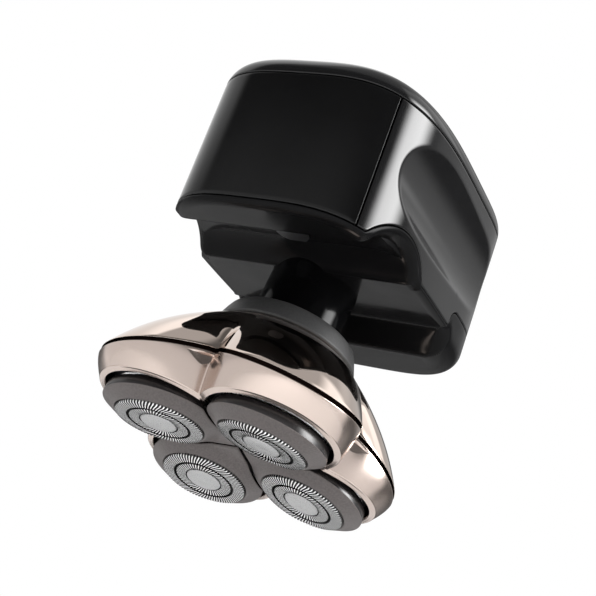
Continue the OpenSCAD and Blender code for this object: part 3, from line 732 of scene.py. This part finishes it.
def steel(name, color, roughness, scale=1500):
    """Bare steel with a fine grain in its tone, roughness and surface."""
    mat, nodes, links, bsdf = shader(name, color, metallic=1.0, roughness=roughness)
    grain = object_noise(nodes, links, scale, 5)
    dark = [c * 0.78 for c in color]
    links.new(color_ramp(nodes, links, grain, dark, color), bsdf.inputs["Base Color"])
    links.new(ramp(nodes, links, grain, roughness * 0.7, roughness * 1.4), bsdf.inputs["Roughness"])
    bump(nodes, links, bsdf, grain, 0.15, 0.00002)
    return mat


def even(level, tint=0.0):
    """A grey of that level, with a trace more blue in it."""
    return (level, level, level + tint)


def plastic_finishes():
    """Polished plastics, and the near-black painted shade for the gold parts' insides, the comb slots and the
    holders' sides.
    """
    return {
        "gloss_black": gloss_plastic("shell_gloss", even(0.0025, 0.0002), 0.09, 0.4),
        "panel_black": gloss_plastic("panel_gloss", even(0.0012, 0.0001), 0.06, 0.25),
        "cap_black": gloss_plastic("cap_gloss", even(0.0025, 0.0002), 0.10, 0.35),
        "housing_black": gloss_plastic("housing_gloss", even(0.003, 0.0002), 0.14, 0.06),
        "neck_black": gloss_plastic("neck_gloss", even(0.0015, 0.0002), 0.10, 0.12),
        # Near-black painted shade for the holders' outer side walls, in the gap by the frame
        "holder_side_shade": gloss_plastic("holder_side_shade", (0.008, 0.007, 0.007), 0.22),
        # Near-black painted shade for the gold parts' inner faces, seen in the seam between frame and chamber
        "gold_inside_shade": gloss_plastic("gold_inside_shade", (0.008, 0.004, 0.003), 0.6, 0.03),
        # Near-black painted shade for the comb's slot walls, its back and its groove
        "comb_slot_shade": gloss_plastic("comb_slot_shade", even(0.003), 0.6, 0.04),
        "battery_wrap": gloss_plastic("battery_wrap", (0.03, 0.09, 0.22), 0.25),
    }


def grained_finishes():
    """Rubbers and matte plastics: darker and lighter tone, roughness, grain size and depth."""
    rows = {
        "button_black": ("button_satin", even(0.012, 0.001), even(0.02, 0.001), 0.35, 2500, 0.00002),
        "rubber_black": ("seal_rubber", even(0.02), even(0.035), 0.7, 1800, 0.00004),
        "collar_rubber": ("collar_rubber", even(0.016, 0.0005), even(0.028), 0.5, 2200, 0.00004),
        "holder_plastic": ("holder_grain", (0.062, 0.053, 0.051), (0.096, 0.083, 0.081), 0.42, 2600, 0.00003),
        "inner_plastic": ("inner_plastic", even(0.02, 0.001), even(0.035, 0.001), 0.5, 900, 0.00004),
        "gear_plastic": ("gear_plastic", (0.6, 0.57, 0.5), (0.7, 0.67, 0.6), 0.5, 900, 0.00003),
        "socket_plastic": ("socket_plastic", even(0.015, 0.001), even(0.025, 0.001), 0.45, 1500, 0.00003),
        "switch_plastic": ("switch_plastic", even(0.03, 0.003), even(0.045, 0.003), 0.5, 1500, 0.00003),
        "circuit_board": ("board_mask", (0.01, 0.07, 0.03), (0.015, 0.1, 0.04), 0.4, 700, 0.00003),
    }
    return {slot: grained(*row) for slot, row in rows.items()}


def metal_finishes():
    """Gold plating and the steels."""
    return {
        "gold_plated": plated("chamber_gold", (0.70, 0.592, 0.525), (0.68, 0.575, 0.51), 0.04, 40),
        "gold_satin": plated("frame_gold", (0.58, 0.487, 0.438), (0.56, 0.47, 0.425), 0.2, 25),
        "comb_steel": steel("comb_steel", even(0.8), 0.14, 3000),
        "cap_steel": steel("cap_steel", even(0.46, 0.003), 0.28, 5000),
        # The cutters' steel is painted near-black: painted shade for the cutters seen through the comb slots
        "cutter_steel": steel("cutter_steel", even(0.03, 0.001), 0.45),
        "motor_steel": steel("motor_steel", (0.6, 0.61, 0.62), 0.35),
        "steel_plate": steel("plate_steel", (0.55, 0.56, 0.57), 0.4),
        "steel_screw": steel("screw_steel", even(0.7, 0.02), 0.25),
        "steel_shaft": steel("shaft_steel", (0.72, 0.73, 0.74), 0.2),
        "spring_steel": steel("spring_steel", even(0.7, 0.01), 0.25),
    }


MATERIALS = plastic_finishes() | grained_finishes() | metal_finishes()


def dress(obj, slot_name):
    """Gives a piece one finish only."""
    obj.data.materials.clear()
    obj.data.materials.append(MATERIALS[slot_name])


def place(obj, body, slot_name, *nodes):
    """Gives a made piece its finish and its body, and hides the CAD nodes it stands for."""
    dress(obj, slot_name)
    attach(obj, body)
    if nodes:
        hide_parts(*nodes)


def second_finish(obj, chosen, finish):
    """Gives the chosen faces of a piece another finish."""
    obj.data.materials.append(MATERIALS[finish])
    obj.data.polygons.foreach_set("material_index", [int(c) for c in chosen])


def add_spring_motion():
    """Gives the holder springs and the button spring meshes of their own; their far ends are worked out but
    not used, and nothing makes the springs shorten.
    """
    for i in HEADS:
        far_end = disc_frame(i, 0, 0, PETAL_TOP + HOLDER_SPRING_H)
        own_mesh(frame["nodes"][f"holder_spring_{i}"])
    far_end = handle_frame(0, ARCH_V, SWITCH_W)
    up = handle_frame(0, 0, 1) - handle_frame(0, 0, 0)
    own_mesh(frame["nodes"]["button_spring"])


# ---------------------------------------------------------------- the object
def build():
    """Finishes every CAD node, and puts the detailed pieces in the place of the nodes they stand for."""
    slots = {row["node"]: row["material_slot"] for row in frame["record"]["subparts"]}
    for name, obj in frame["nodes"].items():
        dress(obj, slots[name])
    place(add_main_shell(), "handle", "gloss_black", "main_shell")
    place(add_front_panel(), "handle", "panel_black", "front_panel")
    place(add_top_cap(), "handle", "cap_black", "top_cap")
    place(add_lower_housing(), "handle", "housing_black", "lower_housing")
    place(add_neck(), "handle", "neck_black", "neck_tube")
    place(add_collar(), "head", "collar_rubber", "rubber_collar")
    chamber, inside = add_hair_chamber()
    place(chamber, "head", "gold_plated", "hair_chamber")
    # The chamber's inner faces get the near-black painted shade that darkens the seam
    second_finish(chamber, inside, "gold_inside_shade")
    blade_frame, inside = add_blade_frame()
    place(blade_frame, "frame", "gold_satin", "blade_frame")
    # The frame's inner faces and tongue get the same painted shade
    second_finish(blade_frame, inside, "gold_inside_shade")
    for i in HEADS:
        petal, side = add_petal(i)
        place(petal, f"float_{i}", "holder_plastic", f"cutter_holder_{i}")
        # Painted shade on the holder's outer side walls
        second_finish(petal, side, "holder_side_shade")
        comb, shade_faces = add_comb(i)
        place(comb, f"float_{i}", "comb_steel", f"shaving_comb_{i}")
        # Painted shade in the comb's slots and groove
        second_finish(comb, shade_faces, "comb_slot_shade")
        place(add_cap(i), f"float_{i}", "cap_steel", f"comb_cap_{i}")
    add_spring_motion()


# ---------------------------------------------------------------- studio
def add_camera():
    """Camera at the photograph's place: below the object, to its front right, and rolled."""
    azimuth, elevation, roll = (math.radians(a) for a in (32.417, -27.206, 25.35))
    away = Vector((math.sin(azimuth), -math.cos(azimuth), 0))
    back = away * math.cos(elevation) + Vector((0, 0, math.sin(elevation)))
    level = (-back).cross(Vector((0, 0, 1))).normalized()
    upright = level.cross(-back)
    right = math.cos(roll) * level + math.sin(roll) * upright
    up = math.cos(roll) * upright - math.sin(roll) * level
    data = bpy.data.cameras.new("camera")
    data.lens = 77.39
    data.sensor_width = 36
    data.clip_start = 0.01
    data.clip_end = 20
    camera = bpy.data.objects.new("camera", data)
    camera.matrix_world = Matrix((right, up, back)).transposed().to_4x4()
    camera.location = Vector((139.3, -223.5 + HEAD_Y, -91.9 + LIFT)) * MM
    bpy.context.scene.collection.objects.link(camera)
    bpy.context.scene.camera = camera


def add_fill():
    """Soft light that brightens the floor and the matte parts, without a reflection of its own."""
    source, target = Vector((0.3, -0.75, 0.5)), Vector((0.1, -0.4, FLOOR_Z))
    data = bpy.data.lights.new("floor_fill", "AREA")
    data.shape, data.size, data.energy = "SQUARE", 0.5, 9.0
    light = bpy.data.objects.new("floor_fill", data)
    light.location = source
    light.rotation_mode = "QUATERNION"
    light.rotation_quaternion = (source - target).to_track_quat("Z", "Y")
    light.visible_glossy = False
    bpy.context.scene.collection.objects.link(light)


# Soft cards round the object: azimuth from the front towards the right, and height, both as middle and
# half-size in degrees; then the width of the soft edge, and the brightness
CARDS = {
    "front_low": ((-20, 75), (-50, 60), 12, 0.8),
    "right_low": ((95, 28), (-50, 52), 12, 0.9),
    "rear_low": ((-155, 50), (-60, 50), 20, 0.35),
    "strip": ((101, 6), (26, 10), 16, 17.0),
    "left_high": ((-105, 35), (45, 18), 14, 0.85),
    "right_high": ((118, 32), (55, 10), 10, 0.9),
    "right_rear": ((156, 24), (36, 12), 14, 0.45),
    "top": ((0, 180), (90, 32), 12, 0.4),
}
# Brightness of the room between the cards, and the floor's height in metres
ROOM, FLOOR_Z = 0.13, -0.32


def add_world():
    """White background for the lens, and for all other rays a dim room with soft cards in it."""
    world = bpy.data.worlds.new("studio")
    bpy.context.scene.world = world
    world.use_nodes = True
    nodes, links = world.node_tree.nodes, world.node_tree.links
    nodes.clear()

    def math_node(operation, first, second=0.0):
        node = nodes.new("ShaderNodeMath")
        node.operation = operation
        for socket, value in zip(node.inputs, (first, second)):
            if isinstance(value, float):
                socket.default_value = value
            else:
                links.new(value, socket)
        return node.outputs["Value"]

    def inside(offset, half, soft):
        """1 where offset is under half, falling to 0 over the soft edge; angles in degrees."""
        node = nodes.new("ShaderNodeMapRange")
        node.interpolation_type = "SMOOTHSTEP"
        node.inputs["From Min"].default_value = math.radians(half)
        node.inputs["From Max"].default_value = math.radians(half + soft)
        node.inputs["To Min"].default_value = 1
        node.inputs["To Max"].default_value = 0
        links.new(offset, node.inputs["Value"])
        return node.outputs["Result"]

    ray_direction = nodes.new("ShaderNodeTexCoord").outputs["Generated"]
    parts = nodes.new("ShaderNodeSeparateXYZ")
    links.new(ray_direction, parts.inputs["Vector"])
    height = math_node("ARCSINE", parts.outputs["Z"])
    level = nodes.new("ShaderNodeVectorMath")
    level.operation = "MULTIPLY"
    level.inputs[1].default_value = (1, 1, 0)
    links.new(ray_direction, level.inputs[0])
    heading = nodes.new("ShaderNodeVectorMath")
    heading.operation = "NORMALIZE"
    links.new(level.outputs["Vector"], heading.inputs[0])
    light = None
    for (azimuth, half_azimuth), (middle, half_height), soft, power in CARDS.values():
        turn = math.radians(azimuth)
        facing = nodes.new("ShaderNodeVectorMath")
        facing.operation = "DOT_PRODUCT"
        facing.inputs[1].default_value = (math.sin(turn), -math.cos(turn), 0)
        links.new(heading.outputs["Vector"], facing.inputs[0])
        aside = math_node("ARCCOSINE", math_node("MULTIPLY", facing.outputs["Value"], 0.9999))
        above = math_node("ABSOLUTE", math_node("SUBTRACT", height, math.radians(middle)))
        card = math_node("MULTIPLY", inside(aside, half_azimuth, soft), inside(above, half_height, soft))
        card = math_node("MULTIPLY", card, power)
        light = card if light is None else math_node("ADD", light, card)
    light = math_node("ADD", light, ROOM)
    out = nodes.new("ShaderNodeOutputWorld")
    pale, room = nodes.new("ShaderNodeBackground"), nodes.new("ShaderNodeBackground")
    pale.inputs["Color"].default_value = (1, 1, 1, 1)
    room.inputs["Color"].default_value = (1, 1, 1, 1)
    links.new(light, room.inputs["Strength"])
    ray, choose = nodes.new("ShaderNodeLightPath"), nodes.new("ShaderNodeMixShader")
    links.new(ray.outputs["Is Camera Ray"], choose.inputs["Fac"])
    links.new(room.outputs["Background"], choose.inputs[1])
    links.new(pale.outputs["Background"], choose.inputs[2])
    links.new(choose.outputs["Shader"], out.inputs["Surface"])


def add_floor():
    """Pale floor well below the object, which floats as in a cut-out product picture."""
    r, z = 1.5, FLOOR_Z
    mesh = bpy.data.meshes.new("floor")
    mesh.from_pydata([(-r, -r, z), (r, -r, z), (r, r, z), (-r, r, z)], [], [(0, 1, 2, 3)])
    floor = bpy.data.objects.new("floor", mesh)
    bpy.context.scene.collection.objects.link(floor)
    floor.data.materials.append(shader("floor_pale", even(0.8), roughness=0.7)[0])


build()
add_camera()
add_world()
add_floor()
add_fill()
bpy.context.scene.view_settings.view_transform = "Standard"
